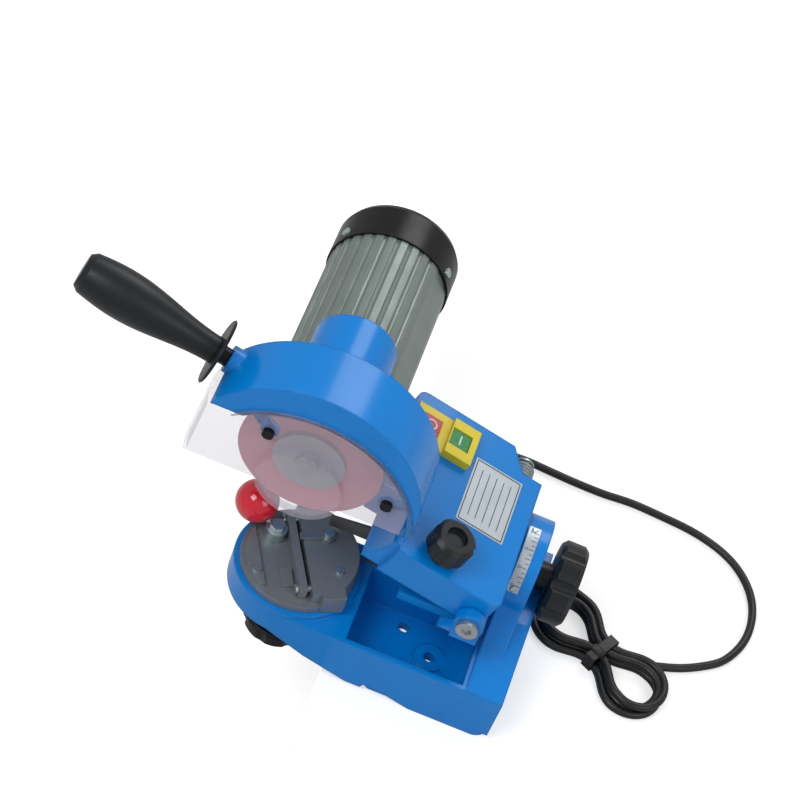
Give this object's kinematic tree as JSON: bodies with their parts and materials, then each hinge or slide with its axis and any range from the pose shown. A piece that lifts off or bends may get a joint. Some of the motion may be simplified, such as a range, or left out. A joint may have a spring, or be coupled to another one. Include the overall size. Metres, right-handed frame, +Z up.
{
  "type": "chain sharpening grinder",
  "caption": "Bench-mounted electric grinder for saw chain: a motor-driven disc on a hinged, tilting arm above a rotating chain vise.",
  "frame": {"origin": "on the axis of the front bench-bolt hole, at the underside of the base, where the base rests on the bench", "axes": "+Z up, +X to the right towards the tilt knob with the handle towards -X, +Y to the back, towards the motor"},
  "size_m": [0.5491, 0.2652, 0.2768],
  "materials": {
    "blue_enamel": "gloss enamel",
    "bright_zinc": "bright zinc plate",
    "machined_steel": "turned",
    "scale_metal": "satin",
    "black_plastic": "satin",
    "black_steel": "black oxide",
    "yellow_plastic": "gloss",
    "red_plastic": "gloss",
    "green_plastic": "gloss",
    "ball_red": "gloss",
    "clear_plastic": "clear",
    "sheet_steel": "plain",
    "motor_aluminium": "satin",
    "winding_steel": "laminated",
    "abrasive": "gritty",
    "vise_metal": "cast",
    "cord_rubber": "matte",
    "pin_brass": "nickel"
  },
  "bodies": {
    "base": {"base_casting": "blue_enamel", "scale_plate": "scale_metal", "scale_rivets": "bright_zinc", "tilt_washer": "bright_zinc", "splash_plate": "sheet_steel", "cord_gland": "cord_rubber", "cord_lead": "cord_rubber", "cord_hank": "cord_rubber", "cord_tie": "cord_rubber", "cord_tail": "cord_rubber", "plug_body": "black_plastic", "plug_pins": "pin_brass"},
    "yoke": {"tilt_yoke": "blue_enamel", "tilt_shaft": "machined_steel", "hinge_pin": "machined_steel", "pin_clip": "bright_zinc", "return_spring": "machined_steel"},
    "tilt_knob": {"tilt_lock_knob": "black_plastic"},
    "arm": {"arm_casting": "blue_enamel", "clear_guard": "clear_plastic", "guard_screws": "black_steel", "motor_tube": "motor_aluminium", "stator": "winding_steel", "front_bearing": "machined_steel", "rear_bearing": "machined_steel", "fan_cover": "black_plastic", "cover_screws": "bright_zinc", "flange_screws": "black_steel", "handle_stud": "black_steel", "handle_disc": "black_plastic", "handle_grip": "black_plastic", "switch_frame": "yellow_plastic", "rating_plate": "scale_metal"},
    "spindle": {"spindle": "machined_steel", "rotor": "winding_steel", "cooling_fan": "black_plastic", "inner_flange": "machined_steel", "grinding_disc": "abrasive", "outer_flange": "machined_steel", "spindle_nut": "machined_steel"},
    "stop_button": {"stop_button": "red_plastic"},
    "start_button": {"start_button": "green_plastic"},
    "depth_screw": {"depth_screw": "black_plastic"},
    "vise": {"turntable": "vise_metal", "guide_pins": "bright_zinc", "jaw_screws": "bright_zinc", "stop_screw": "bright_zinc", "lock_stud": "machined_steel"},
    "moving_jaw": {"moving_jaw": "vise_metal"},
    "cam": {"cam_lever": "bright_zinc", "lever_ball": "ball_red"},
    "chain_stop": {"chain_stop": "machined_steel"},
    "lock_knob": {"vise_lock_knob": "black_plastic"}
  },
  "joints": [
    {"name": "tilt", "type": "hinge", "parent": "base", "child": "yoke", "pos_m": [0, 0.06, 0.072], "axis": [-1, 0, 0], "range_deg": [0, 30]},
    {"name": "tilt_knob_turn", "type": "hinge", "parent": "yoke", "child": "tilt_knob", "pos_m": [0.0688, 0.06, 0.072], "axis": [1, 0, 0], "range_deg": [-90, 90]},
    {"name": "arm_swing", "type": "hinge", "parent": "yoke", "child": "arm", "pos_m": [0.013, 0, 0.095], "axis": [0, -1, 0], "range_deg": [0, 12], "stiffness_Nm_per_rad": 12, "springref_deg": -40.11},
    {"name": "spindle_spin", "type": "hinge", "parent": "arm", "child": "spindle", "pos_m": [-0.13184, 0.004, 0.16512], "axis": [0, 1, 0], "continuous": true},
    {"name": "stop_press", "type": "slide", "parent": "arm", "child": "stop_button", "axis": [-0.2419, 0, -0.9703], "range_m": [0, 0.0025], "stiffness_N_per_m": 300, "springref_m": -0.004},
    {"name": "start_press", "type": "slide", "parent": "arm", "child": "start_button", "axis": [-0.2419, 0, -0.9703], "range_m": [0, 0.0025], "stiffness_N_per_m": 300, "springref_m": -0.004},
    {"name": "depth_turn", "type": "hinge", "parent": "arm", "child": "depth_screw", "pos_m": [-0.02921, -0.002, 0.10552], "axis": [0.2419, 0, 0.9703], "range_deg": [-180, 180]},
    {"name": "vise_turn", "type": "hinge", "parent": "base", "child": "vise", "pos_m": [-0.114, 0.004, 0.05], "axis": [0, 0, 1], "range_deg": [-57, 3]},
    {"name": "cam_turn", "type": "hinge", "parent": "vise", "child": "cam", "pos_m": [-0.13734, 0.01567, 0.0603], "axis": [0, 0, 1], "range_deg": [-25, 0]},
    {"name": "jaw_slide", "type": "slide", "parent": "vise", "child": "moving_jaw", "axis": [0.891, 0.454, 0], "range_m": [0, 0.0013]},
    {"name": "stop_turn", "type": "hinge", "parent": "vise", "child": "chain_stop", "pos_m": [-0.10072, 0.02199, 0.0683], "axis": [0, 0, 1], "range_deg": [-15, 15]},
    {"name": "lock_knob_turn", "type": "hinge", "parent": "vise", "child": "lock_knob", "pos_m": [-0.114, 0.004, -0.018], "axis": [0, 0, 1], "range_deg": [-90, 90]}
  ],
  "couplings": [
    {"joint": "jaw_slide", "follows": "cam_turn", "m_per_rad": -0.00275}
  ]
}
